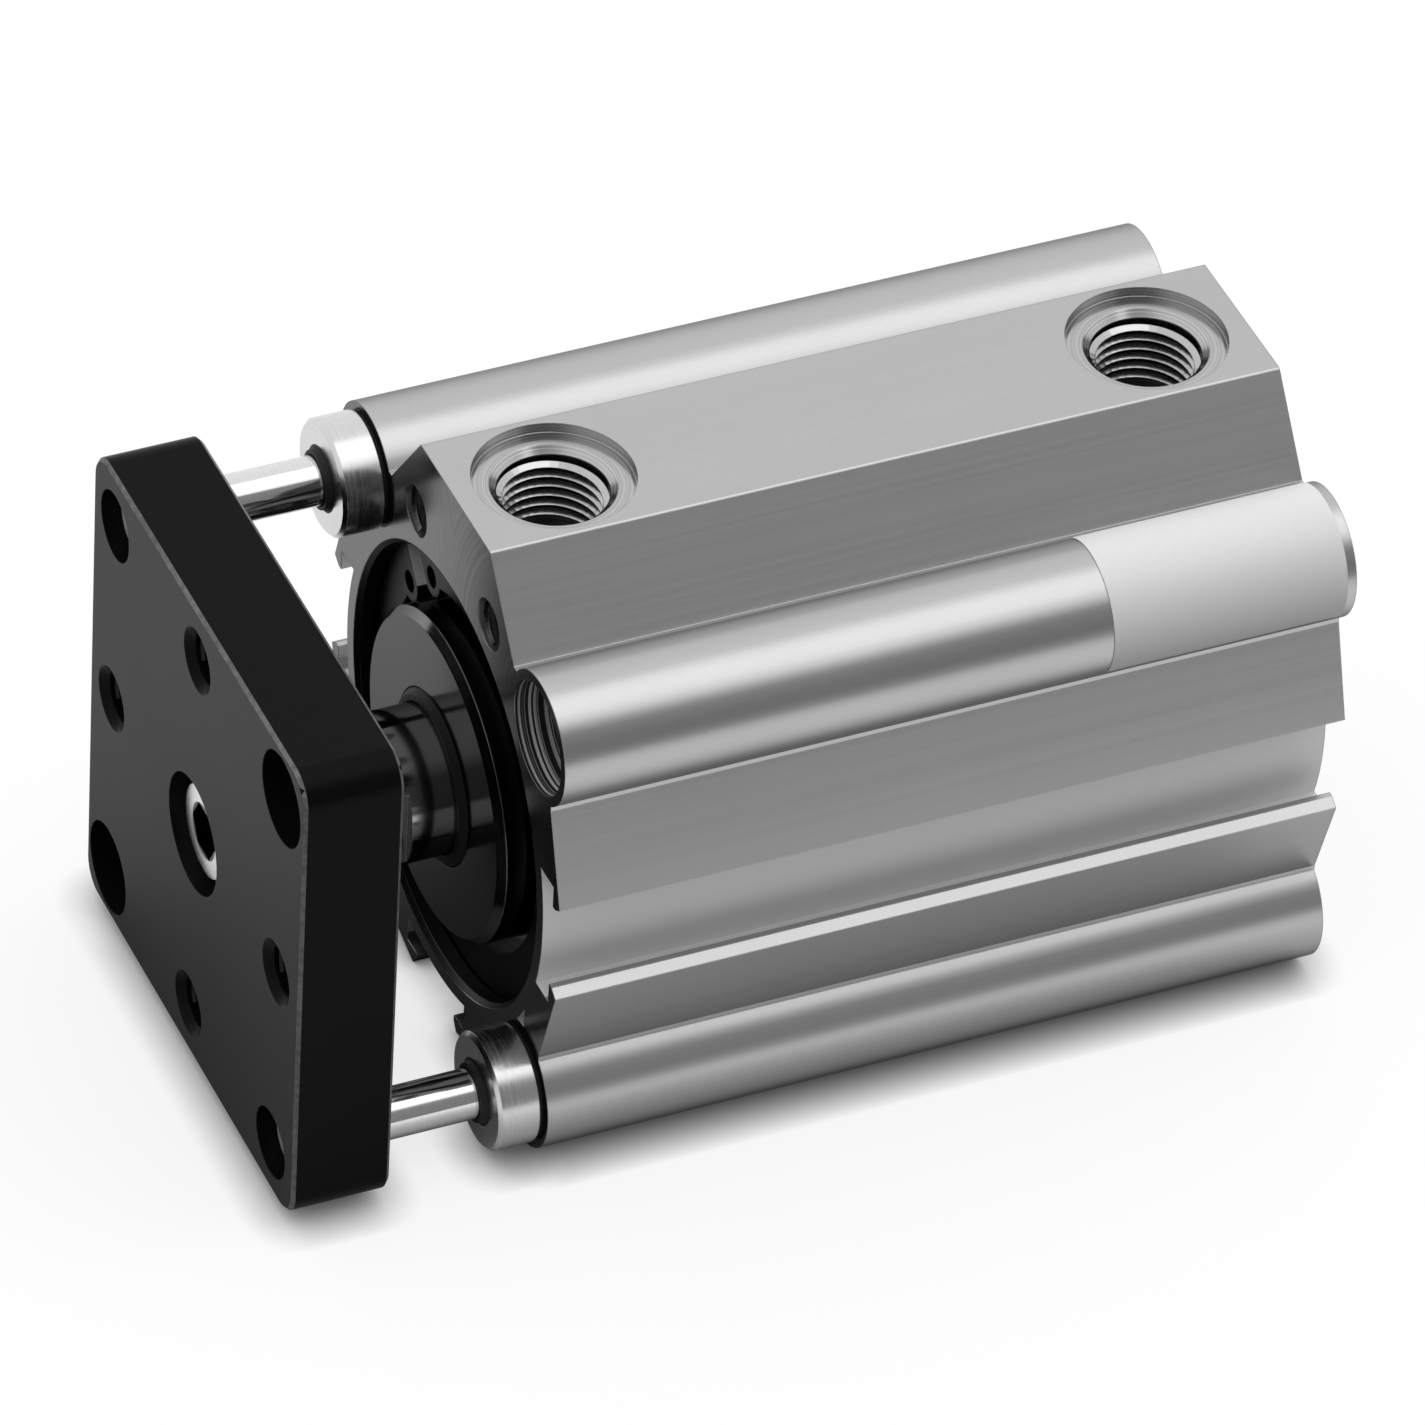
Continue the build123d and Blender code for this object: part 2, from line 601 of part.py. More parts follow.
with BuildPart() as rod_screw:
    cap_screw(
        PLATE_FRONT - ROD_SCREW_SETBACK, rod_screw_seat, rod_screw_end, ROD_SCREW_HEAD, ROD_SCREW, ROD_SCREW_SOCKET
    )
finish(rod_screw, "rod_screw")

with BuildPart() as piston_screw:
    cap_screw(
        piston_screw_seat - PISTON_SCREW_HEAD_HEIGHT,
        piston_screw_seat,
        piston_screw_end,
        PISTON_SCREW_HEAD,
        ROD_SCREW,
        ROD_SCREW_SOCKET,
        facing=-1,
    )
finish(piston_screw, "piston_screw")

guide_screw_end = guide_screw_seat - GUIDE_SCREW_LENGTH
for side, centre in GUIDE_CENTRES.items():
    with BuildPart() as guide_rod:
        turned(
            *rod_points(guide_socket_floor, GUIDE_ROD_END - BODY_LENGTH, GUIDE_ROD / 2, GUIDE_ROD_EDGE),
            centre=centre,
        )
        turned(
            *ring_points(guide_socket_floor, guide_screw_end - TAPPED_SPARE, 0, GUIDE_SCREW / 2 + SCREW_PLAY),
            centre=centre,
            mode=Mode.SUBTRACT,
        )
    finish(guide_rod, f"guide_rod_{side}")
    with BuildPart() as guide_rod_screw:
        cap_screw(
            PLATE_FRONT - GUIDE_SCREW_SETBACK,
            guide_screw_seat,
            guide_screw_end,
            GUIDE_SCREW_HEAD,
            GUIDE_SCREW,
            GUIDE_SCREW_SOCKET,
            centre=centre,
        )
    finish(guide_rod_screw, f"guide_rod_screw_{side}")

# Piston with its rings: seal, magnet, guide ring and seal, from the front to the rear
piston_radius = BORE / 2 - PISTON_CLEARANCE
front_seal_from = PISTON_FRONT - PISTON_LAND
magnet_from = front_seal_from - PISTON_SEAL_WIDTH - PISTON_WEB
guide_ring_from = magnet_from - MAGNET_WIDTH - PISTON_WEB
rear_seal_from = guide_ring_from - GUIDE_RING_WIDTH - PISTON_WEB
static_seal_from = PISTON_FRONT - STATIC_SEAL_SETBACK
piston_grooves = [
    (front_seal_from, PISTON_SEAL_WIDTH, PISTON_SEAL_DEPTH),
    (magnet_from, MAGNET_WIDTH, MAGNET_DEPTH),
    (guide_ring_from, GUIDE_RING_WIDTH, GUIDE_RING_DEPTH),
    (rear_seal_from, PISTON_SEAL_WIDTH, PISTON_SEAL_DEPTH),
]
with BuildPart() as piston:
    turned(*rod_points(PISTON_FRONT, PISTON_REAR, piston_radius, PISTON_EDGE))
    turned(*ring_points(PISTON_FRONT, PISTON_REAR, 0, SPIGOT / 2 + GUIDE_FIT), mode=Mode.SUBTRACT)
    turned(*ring_points(piston_screw_seat, PISTON_REAR, 0, SCREW_RECESS / 2), mode=Mode.SUBTRACT)
    for groove_from, width, depth in piston_grooves:
        turned(
            *ring_points(groove_from, groove_from - width, piston_radius - depth, BORE / 2),
            mode=Mode.SUBTRACT,
        )
    turned(
        *ring_points(
            static_seal_from,
            static_seal_from - STATIC_SEAL_WIDTH,
            0,
            SPIGOT / 2 + STATIC_SEAL_HEIGHT,
        ),
        mode=Mode.SUBTRACT,
    )
finish(piston, "piston")

with BuildPart() as piston_static_seal:
    turned(
        *ring_points(
            static_seal_from - RING_PLAY,
            static_seal_from - STATIC_SEAL_WIDTH + RING_PLAY,
            SPIGOT / 2 + GUIDE_FIT,
            SPIGOT / 2 + STATIC_SEAL_HEIGHT - GUIDE_FIT,
        )
    )
finish(piston_static_seal, "piston_static_seal")

lip_radius = BORE / 2 - SEAL_RUNNING
heel_radius = piston_radius - RING_PLAY
seal_floor = piston_radius - PISTON_SEAL_DEPTH + GUIDE_FIT
for end, open_face, closed_face in (
    ("front", front_seal_from - RING_PLAY, front_seal_from - PISTON_SEAL_WIDTH + RING_PLAY),
    ("rear", rear_seal_from - PISTON_SEAL_WIDTH + RING_PLAY, rear_seal_from - RING_PLAY),
):
    with BuildPart() as piston_seal:
        turned(
            (open_face, seal_floor),
            ((open_face + closed_face) / 2, (seal_floor + lip_radius) / 2),
            (open_face, lip_radius),
            (closed_face, heel_radius),
            (closed_face, seal_floor),
        )
    finish(piston_seal, f"piston_seal_{end}")

with BuildPart() as piston_magnet:
    turned(
        *ring_points(
            magnet_from - RING_PLAY,
            magnet_from - MAGNET_WIDTH + RING_PLAY,
            piston_radius - MAGNET_DEPTH + GUIDE_FIT,
            piston_radius - RING_PLAY,
        )
    )
finish(piston_magnet, "piston_magnet")

with BuildPart() as piston_guide_ring:
    turned(
        *ring_points(
            guide_ring_from - RING_PLAY,
            guide_ring_from - GUIDE_RING_WIDTH + RING_PLAY,
            piston_radius - GUIDE_RING_DEPTH + GUIDE_FIT,
            BORE / 2 - RUNNING,
        )
    )
finish(piston_guide_ring, "piston_guide_ring")
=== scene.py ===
# %% [markdown]
# A short-stroke air cylinder, dressed for its picture.
# The solids come from the CAD frame: profiled body, covers, rods and front plate. They are exact, so
# they stay where they are. What a turned or extruded part still lacks is what this lesson adds:
# the finish that each tool left on the metal, the screw threads, and the bare label.

# %% Load the frame
import math

import bmesh
import bpy
from mathutils import Matrix, Vector


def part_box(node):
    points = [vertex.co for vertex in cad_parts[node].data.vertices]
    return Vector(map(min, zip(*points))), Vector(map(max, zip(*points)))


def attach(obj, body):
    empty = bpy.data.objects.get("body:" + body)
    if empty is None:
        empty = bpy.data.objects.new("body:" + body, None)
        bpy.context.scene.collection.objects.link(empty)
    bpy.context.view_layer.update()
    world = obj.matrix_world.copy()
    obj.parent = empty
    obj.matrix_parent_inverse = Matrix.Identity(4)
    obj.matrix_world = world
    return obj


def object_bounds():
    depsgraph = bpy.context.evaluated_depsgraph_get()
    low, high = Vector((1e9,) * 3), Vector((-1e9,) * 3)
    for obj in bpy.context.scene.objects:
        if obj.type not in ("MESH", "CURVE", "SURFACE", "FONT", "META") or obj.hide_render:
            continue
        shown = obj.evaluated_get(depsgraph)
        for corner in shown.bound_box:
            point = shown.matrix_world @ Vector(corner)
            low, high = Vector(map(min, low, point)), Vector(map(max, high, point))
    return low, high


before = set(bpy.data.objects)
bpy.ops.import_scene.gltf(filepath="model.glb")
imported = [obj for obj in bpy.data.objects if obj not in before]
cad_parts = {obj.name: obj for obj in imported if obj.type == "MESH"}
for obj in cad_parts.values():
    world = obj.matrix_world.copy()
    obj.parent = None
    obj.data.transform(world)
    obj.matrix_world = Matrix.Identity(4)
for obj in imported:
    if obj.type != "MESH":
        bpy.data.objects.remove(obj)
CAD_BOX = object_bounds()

MM = 0.001

# %% [markdown]
# The sizes of the body, the plate and the lobes are read from the frame, so that the dressing sits
# where the metal is. A box doesn't tell where a hole lies, so the ports and the other holes repeat
# the numbers of the CAD. The body runs from its front face at X = 0 to its rear face.

# %% Sizes read from the frame
BODY_LOW, BODY_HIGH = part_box("cylinder_body")
PLATE_LOW, PLATE_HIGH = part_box("front_plate")
BODY_REAR = BODY_LOW[0]
PLATFORM_TOP = BODY_HIGH[2]
GUIDE_LOW, GUIDE_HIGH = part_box("guide_rod_lower")
LOBE = (GUIDE_LOW[1] + GUIDE_HIGH[1]) / 2
PORT_INSET = 8 * MM
PORTS = [-PORT_INSET, BODY_REAR + PORT_INSET]
PORT_BORE = 4.3 * MM
PORT_FLOOR = 19.2 * MM
print("lobe centres at", round(LOBE / MM, 2), "mm, body", round(-BODY_REAR / MM, 1), "mm long")

# %% [markdown]
# Every finish on the part starts from the same three nodes: an output, one Principled shader, and the
# Object coordinates. Object coordinates are metres on these pieces, so a noise scale of 2000 means
# marks half a millimetre wide, and the marks stay on the metal when the slide moves.

# %% A blank material


def blank_finish(name):
    """A material with one Principled shader, and the Object coordinates to drive it."""
    material = bpy.data.materials.new(name)
    material.use_nodes = True
    tree = material.node_tree
    tree.nodes.clear()
    output = tree.nodes.new("ShaderNodeOutputMaterial")
    shader = tree.nodes.new("ShaderNodeBsdfPrincipled")
    place = tree.nodes.new("ShaderNodeTexCoord")
    tree.links.new(shader.outputs["BSDF"], output.inputs["Surface"])
    return material, tree, shader, place.outputs["Object"]


def set_value(socket, value):
    """Put a number, a grey or a colour on a socket."""
    socket.default_value = value


def math_node(tree, operation, first, second=None, clamp=False):
    """One Math node; each operand is a number or another node's output."""
    node = tree.nodes.new("ShaderNodeMath")
    node.operation = operation
    node.use_clamp = clamp
    for slot, operand in enumerate((first, second)):
        if operand is None:
            continue
        if isinstance(operand, (int, float)):
            node.inputs[slot].default_value = operand
        else:
            tree.links.new(operand, node.inputs[slot])
    return node.outputs[0]


def mix_numbers(tree, factor, low, high):
    """From low to high as the factor goes from 0 to 1; each end is a number or another node's output."""
    node = tree.nodes.new("ShaderNodeMapRange")
    tree.links.new(factor, node.inputs["Value"])
    for name, end in (("To Min", low), ("To Max", high)):
        if isinstance(end, (int, float)):
            node.inputs[name].default_value = end
        else:
            tree.links.new(end, node.inputs[name])
    return node.outputs["Result"]


def mix_greys(tree, factor, low, high):
    """A colour between two greys or colours."""
    node = tree.nodes.new("ShaderNodeMix")
    node.data_type = "RGBA"
    tree.links.new(factor, node.inputs["Factor"])
    for name, tone in (("A", low), ("B", high)):
        socket = [s for s in node.inputs if s.name == name and s.type == "RGBA"][0]
        if isinstance(tone, bpy.types.NodeSocket):
            tree.links.new(tone, socket)
        else:
            socket.default_value = (*tone, 1) if len(tone) == 3 else tone
    return [s for s in node.outputs if s.type == "RGBA"][0]


def grey(value, warmth=0.0):
    """A near-neutral tone as red, green and blue."""
    return (value * (1 + warmth), value, value * (1 - warmth))


def bump(tree, height, strength, depth, normal=None):
    """Turn a height into a normal. Depth is the real height of the marks."""
    node = tree.nodes.new("ShaderNodeBump")
    node.inputs["Strength"].default_value = strength
    node.inputs["Distance"].default_value = depth
    tree.links.new(height, node.inputs["Height"])
    if normal is not None:
        tree.links.new(normal, node.inputs["Normal"])
    return node.outputs["Normal"]


# %% [markdown]
# Three kinds of marks are needed more than once, so each is a node group that is built once.
# Drawn lines run along the extrusion, because the die drags over the metal on its way out.
# Turned rings follow the tool round an axis along X. Satin grain is the fine tooth of etched and
# anodised metal, with no direction at all.

# %% Shared marks as node groups


def new_group(name, numbers):
    """An empty node group with a Vector input, some numbers and one Value output."""
    group = bpy.data.node_groups.new(name, "ShaderNodeTree")
    group.interface.new_socket("Vector", in_out="INPUT", socket_type="NodeSocketVector")
    for title, value in numbers.items():
        socket = group.interface.new_socket(title, in_out="INPUT", socket_type="NodeSocketFloat")
        socket.default_value = value
    group.interface.new_socket("Value", in_out="OUTPUT", socket_type="NodeSocketFloat")
    return group, group.nodes.new("NodeGroupInput"), group.nodes.new("NodeGroupOutput")


def noise_at(group, vector, scale, detail, roughness=0.5):
    """A noise texture in a group; scale is a number or a socket."""
    noise = group.nodes.new("ShaderNodeTexNoise")
    noise.inputs["Detail"].default_value = detail
    noise.inputs["Roughness"].default_value = roughness
    group.links.new(vector, noise.inputs["Vector"])
    if isinstance(scale, (int, float)):
        noise.inputs["Scale"].default_value = scale
    else:
        group.links.new(scale, noise.inputs["Scale"])
    return noise.outputs["Fac"]


def make_drawn_lines():
    group, inputs, outputs = new_group("drawn_lines", {"Across": 3000.0, "Along": 12.0})
    parts = group.nodes.new("ShaderNodeSeparateXYZ")
    joined = group.nodes.new("ShaderNodeCombineXYZ")
    group.links.new(inputs.outputs["Vector"], parts.inputs[0])
    for axis, title in enumerate(("Along", "Across", "Across")):
        stretched = math_node(group, "MULTIPLY", parts.outputs[axis], inputs.outputs[title])
        group.links.new(stretched, joined.inputs[axis])
    lines = noise_at(group, joined.outputs[0], 1.0, 3.0, 0.6)
    group.links.new(lines, outputs.inputs["Value"])
    return group


def make_turned_rings():
    group, inputs, outputs = new_group("turned_rings", {"Density": 6000.0})
    parts = group.nodes.new("ShaderNodeSeparateXYZ")
    group.links.new(inputs.outputs["Vector"], parts.inputs[0])
    squares = [math_node(group, "MULTIPLY", parts.outputs[axis], parts.outputs[axis]) for axis in (1, 2)]
    radius = math_node(group, "SQRT", math_node(group, "ADD", squares[0], squares[1]))
    joined = group.nodes.new("ShaderNodeCombineXYZ")
    for slot, length in enumerate((radius, parts.outputs["X"])):
        packed = math_node(group, "MULTIPLY", length, inputs.outputs["Density"])
        group.links.new(packed, joined.inputs[slot])
    rings = noise_at(group, joined.outputs[0], 1.0, 2.0, 0.6)
    group.links.new(rings, outputs.inputs["Value"])
    return group


def make_satin_grain():
    group, inputs, outputs = new_group("satin_grain", {"Scale": 9000.0, "Cloud Scale": 90.0})
    fine = noise_at(group, inputs.outputs["Vector"], inputs.outputs["Scale"], 2.0)
    cloud = noise_at(group, inputs.outputs["Vector"], inputs.outputs["Cloud Scale"], 3.0)
    shares = [math_node(group, "MULTIPLY", noise, share) for noise, share in ((fine, 0.7), (cloud, 0.3))]
    group.links.new(math_node(group, "ADD", *shares), outputs.inputs["Value"])
    return group


DRAWN_LINES = make_drawn_lines()
TURNED_RINGS = make_turned_rings()
SATIN_GRAIN = make_satin_grain()


def marks(tree, group, vector, **numbers):
    """Place a group of marks in a material and return its value."""
    node = tree.nodes.new("ShaderNodeGroup")
    node.node_tree = group
    tree.links.new(vector, node.inputs["Vector"])
    for title, value in numbers.items():
        node.inputs[title.replace("_", " ")].default_value = value
    return node.outputs["Value"]


def from_centre(tree, vector, centre):
    """Object coordinates measured from the axis that a piece was turned about."""
    node = tree.nodes.new("ShaderNodeVectorMath")
    node.operation = "SUBTRACT"
    tree.links.new(vector, node.inputs[0])
    node.inputs[1].default_value = centre
    return node.outputs["Vector"]


def softened_edges(tree, radius):
    """The tiny round that every real edge has, as a normal."""
    node = tree.nodes.new("ShaderNodeBevel")
    node.samples = 4
    node.inputs["Radius"].default_value = radius
    return node.outputs["Normal"]


print("groups:", [group.name for group in (DRAWN_LINES, TURNED_RINGS, SATIN_GRAIN)])

# %% [markdown]
# A mask is 1 where a finish belongs and 0 elsewhere. On a part whose sizes are known it needs no
# painted map: a few Math nodes compare where a point lies with those sizes. The distance from an
# axis picks out what was drilled or turned, and two limits pick out a layer or a ring.

# %% Masks from where a point lies


def both_of(tree, first, second):
    """1 where both masks are."""
    return math_node(tree, "MULTIPLY", first, second)


def either_of(tree, first, second):
    """1 where one mask or the other is."""
    return math_node(tree, "MAXIMUM", first, second)


def split(tree, vector):
    """The X, Y and Z of a vector, as three outputs."""
    parts = tree.nodes.new("ShaderNodeSeparateXYZ")
    tree.links.new(vector, parts.inputs[0])
    return parts.outputs


def distance(tree, first, second):
    """How far two sides of a right angle reach together: the distance from an axis."""
    squares = [math_node(tree, "MULTIPLY", side, side) for side in (first, second)]
    return math_node(tree, "SQRT", math_node(tree, "ADD", *squares))


def between(tree, value, low, high):
    """1 where the value lies between two numbers."""
    above = math_node(tree, "GREATER_THAN", value, low)
    return both_of(tree, above, math_node(tree, "LESS_THAN", value, high))


def from_lobe_axis(tree, parts):
    """The distance from the nearest lobe's axis. Taking the size of Y and Z folds four lobes into one."""
    offsets = [
        math_node(tree, "SUBTRACT", math_node(tree, "ABSOLUTE", parts[side]), LOBE) for side in ("Y", "Z")
    ]
    return distance(tree, *offsets)


def from_port_axis(tree, parts):
    """The distance from the nearer port's axis, which is upright."""
    two = [distance(tree, math_node(tree, "SUBTRACT", parts["X"], port), parts["Y"]) for port in PORTS]
    return math_node(tree, "MINIMUM", *two)


print("masks measure from", len(PORTS), "port axes and from the lobes at", round(LOBE / MM, 1), "mm")

# %% [markdown]
# The body is taken to be an extrusion that was cut to length and then machined: its two end faces
# milled, the ports spot-faced and tapped, and two lobes counterbored at the front. Some places have
# a tone chosen to match the shading of the photograph, not for their metal: painted light and shade.
# The end faces, the recesses for the covers and the walls of the ports are darker than bare metal,
# which is painted shade, and the floors of the three sensor rails are lighter and less like a metal,
# which is painted light. The holes in the lobes have painted light and dark stripes for reflections.

# %% Where the body was machined
NEAR = 0.05 * MM
SPOTFACE_RADIUS = 6.3 * MM
RECESS_RADIUS = 18.8 * MM
TUBE_RADIUS = 19.6 * MM
LIP_INSIDE = 21.3 * MM
COUNTERBORE_RADIUS = 4.5 * MM
COUNTERBORE_SEAT = 3.0 * MM
COARSER_IN_HOLES = 0.45


def body_masks(tree, place):
    """The machined places of the body by name, and how far a tool went along its port or hole."""
    parts = split(tree, place)
    radius = distance(tree, parts["Y"], parts["Z"])
    port_radius = from_port_axis(tree, parts)
    lobe_radius = from_lobe_axis(tree, parts)

    front_face = math_node(tree, "GREATER_THAN", parts["X"], -NEAR)
    end = either_of(tree, front_face, math_node(tree, "LESS_THAN", parts["X"], BODY_REAR + NEAR))
    inner = math_node(tree, "SUBTRACT", 1.0, end)
    sunk = between(tree, parts["Z"], PORT_FLOOR - NEAR, PLATFORM_TOP - NEAR)
    port = both_of(tree, sunk, math_node(tree, "LESS_THAN", port_radius, SPOTFACE_RADIUS + NEAR))
    tapped = both_of(tree, port, between(tree, port_radius, PORT_BORE - NEAR, PORT_BORE + NEAR))
    hole = both_of(tree, inner, math_node(tree, "LESS_THAN", lobe_radius, COUNTERBORE_RADIUS + NEAR))
    counterbore = both_of(tree, hole, math_node(tree, "GREATER_THAN", lobe_radius, COUNTERBORE_SEAT))
    recess = both_of(tree, inner, math_node(tree, "LESS_THAN", radius, RECESS_RADIUS))
    ring = both_of(tree, inner, between(tree, radius, TUBE_RADIUS - NEAR, LIP_INSIDE))
    below_ports = math_node(tree, "LESS_THAN", parts["Z"], LOBE)
    rail = both_of(tree, ring, math_node(tree, "SUBTRACT", below_ports, hole, clamp=True))
    lobe_way = math_node(tree, "ADD", lobe_radius, parts["X"])
    return {
        "end": end,
        "inner": inner,
        "tapped": tapped,
        "hole": hole,
        "recess": recess,
        "rail": rail,
        "matt": either_of(tree, rail, counterbore),
        "machined": either_of(tree, either_of(tree, port, end), hole),
        "port": port,
        "along_port": math_node(tree, "ADD", port_radius, parts["Z"]),
        "along_hole": math_node(tree, "MULTIPLY", lobe_way, COARSER_IN_HOLES),
    }


print("machined: ports at", [round(port / MM, 1) for port in PORTS], "mm and the two end faces")

# %% [markdown]
# The long sides keep the die's lines under a satin anodised layer, and what was cut afterwards shows
# the tool's rings instead. One material holds both and picks by mask. The rings are a noise of one
# dimension, read along the way that the tool went. Faces seen at a glancing angle came out brighter
# than they are in the photograph, so a dark Specular Tint holds that back.

# %% Body: clear anodised extrusion
# Painted shade on the end faces, port walls and recesses, and painted light on the rail floors.
PAINTED_LIGHT_AND_SHADE_TONES = {"end": 0.34, "tapped": 0.05, "recess": 0.1, "rail": 0.85}
RING_SCALE = 5200.0
PAINTED_GLINT_GAIN, PAINTED_GLINT_START = 8.0, 3.9
DARK_GLANCE = 0.35
MATT_METAL = 0.3
MATT_ROUGHER = 0.22
RING_DEPTH, HOLE_RING_DEPTH = 1.6, 7.0


def tool_rings(tree, masks):
    """The rings that a tool left, along each port or hole."""
    rings = tree.nodes.new("ShaderNodeTexNoise")
    rings.noise_dimensions = "1D"
    rings.inputs["Scale"].default_value = RING_SCALE
    way = mix_numbers(tree, masks["port"], masks["along_hole"], masks["along_port"])
    tree.links.new(way, rings.inputs["W"])
    return rings.outputs["Fac"]


def body_tone(tree, place, masks, lines, grain, rings):
    """Drawn and speckled metal in patches, cut metal in rings, painted glints in holes, painted shade and
    light.
    """
    broad = marks(tree, DRAWN_LINES, place, Across=420.0, Along=5.0)
    patches = marks(tree, SATIN_GRAIN, place, Scale=300.0, Cloud_Scale=60.0)
    drawn_lines = math_node(tree, "MULTIPLY", math_node(tree, "ADD", lines, broad), 0.5)
    drawn = mix_greys(tree, drawn_lines, grey(0.43), grey(0.55))
    speckled = mix_greys(tree, grain, grey(0.42), grey(0.56))
    satin = mix_greys(tree, patches, drawn, speckled)
    cut = mix_greys(tree, rings, grey(0.3), grey(0.62))
    # Painted glints: light and dark stripes in the lobes' holes stand in for reflections.
    gained = math_node(tree, "MULTIPLY", rings, PAINTED_GLINT_GAIN)
    painted_glint_stripes = math_node(tree, "SUBTRACT", gained, PAINTED_GLINT_START, clamp=True)
    painted_glints_in_holes = mix_greys(tree, painted_glint_stripes, grey(0.03), grey(0.9))
    tone = mix_greys(tree, masks["hole"], mix_greys(tree, masks["machined"], satin, cut), painted_glints_in_holes)
    for name, value in PAINTED_LIGHT_AND_SHADE_TONES.items():
        tone = mix_greys(tree, masks[name], tone, grey(value))
    return tone


def body_finish():
    material, tree, shader, place = blank_finish("clear_anodised_extrusion")
    masks = body_masks(tree, place)
    lines = marks(tree, DRAWN_LINES, place, Across=2600.0, Along=9.0)
    grain = marks(tree, SATIN_GRAIN, place, Scale=5200.0, Cloud_Scale=160.0)
    rings = tool_rings(tree, masks)
    tree.links.new(body_tone(tree, place, masks, lines, grain, rings), shader.inputs["Base Color"])

    rougher = math_node(tree, "MULTIPLY", masks["rail"], MATT_ROUGHER)
    satin = math_node(tree, "ADD", mix_numbers(tree, lines, 0.26, 0.38), rougher)
    cut = mix_numbers(tree, rings, 0.12, 0.26)
    tree.links.new(mix_numbers(tree, masks["machined"], satin, cut), shader.inputs["Roughness"])
    tree.links.new(mix_numbers(tree, masks["matt"], 1.0, MATT_METAL), shader.inputs["Metallic"])
    set_value(shader.inputs["Specular Tint"], (*grey(DARK_GLANCE), 1))

    drawn_height = math_node(tree, "ADD", lines, math_node(tree, "MULTIPLY", grain, 0.5))
    depth = mix_numbers(tree, masks["hole"], RING_DEPTH, HOLE_RING_DEPTH)
    cut_height = math_node(tree, "MULTIPLY", rings, math_node(tree, "MULTIPLY", masks["inner"], depth))
    height = mix_numbers(tree, masks["machined"], drawn_height, cut_height)
    normal = bump(tree, height, 0.25, 0.01 * MM, softened_edges(tree, 0.12 * MM))
    tree.links.new(normal, shader.inputs["Normal"])
    return material


def dress(material, *nodes):
    """Give a finish to nodes of the frame."""
    for node in nodes:
        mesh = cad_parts[node].data
        mesh.materials.clear()
        mesh.materials.append(material)


dress(body_finish(), "cylinder_body")
print("body dressed in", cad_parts["cylinder_body"].data.materials[0].name)

# %% [markdown]
# Covers, piston, bushes and rods are all turned parts, so one function makes their finish: rings of
# a chosen density about the piece's own axis, a tone, and a roughness that varies a little from one
# ring to the next. The rods are taken to be ground and chromed after turning, which leaves hardly
# any ring. The middle of a piece can have another tone, painted shade such as the dark inside of
# a screw's socket. The middle of the covers and the piston rod are darker than bare metal or chrome
# would be, which is painted shade, and have the dark Specular Tint too, because that is how they look
# in the photograph.

# %% Turned metal
# Painted shade: the middle of the covers is darker than their metal.
COVER_BOSS_PAINTED_SHADE = (13.4 * MM, 0.22)
# Painted shade: the insides of the screws' sockets are near black.
ROD_SCREW_SOCKET_PAINTED_SHADE = (2.33 * MM, 0.04)
GUIDE_SCREW_SOCKET_PAINTED_SHADE = (1.17 * MM, 0.05)
LOBE_AXES = {"upper": (0, -LOBE, LOBE), "lower": (0, LOBE, -LOBE)}
BRONZE_WARMTH = 0.2


def turned_finish(
    name,
    tone,
    roughness,
    ring_depth,
    centre=(0, 0, 0),
    density=5000.0,
    warmth=0.0,
    edge=0.08,
    core=None,
    glance=1.0,
):
    """Turned metal. Roughness is its lowest and highest value, core is a radius and the darker tone
    inside it, which is painted shade, and glance the grey of the Specular Tint. Ring depth and edge are
    millimetres."""
    material, tree, shader, place = blank_finish(name)
    vector = from_centre(tree, place, centre)
    rings = marks(tree, TURNED_RINGS, vector, Density=density)
    stains = marks(tree, SATIN_GRAIN, vector, Scale=1500.0, Cloud_Scale=160.0)
    worn = math_node(tree, "MULTIPLY", math_node(tree, "ADD", rings, stains), 0.5)
    colour = mix_greys(tree, worn, grey(tone * 0.82, warmth), grey(min(1.0, tone * 1.12), warmth))
    if core:
        parts = split(tree, vector)
        inside = math_node(tree, "LESS_THAN", distance(tree, parts["Y"], parts["Z"]), core[0])
        colour = mix_greys(tree, inside, colour, grey(core[1]))
    tree.links.new(colour, shader.inputs["Base Color"])
    tree.links.new(mix_numbers(tree, rings, *roughness), shader.inputs["Roughness"])
    set_value(shader.inputs["Metallic"], 1.0)
    set_value(shader.inputs["Specular Tint"], (*grey(glance), 1))
    normal = bump(tree, rings, 0.3, ring_depth * MM, softened_edges(tree, edge * MM))
    tree.links.new(normal, shader.inputs["Normal"])
    return material


cover_finish = turned_finish("turned_cover", 0.6, (0.1, 0.2), 0.005, core=COVER_BOSS_PAINTED_SHADE, glance=DARK_GLANCE)
dress(cover_finish, "front_cover", "rear_cover", "piston")
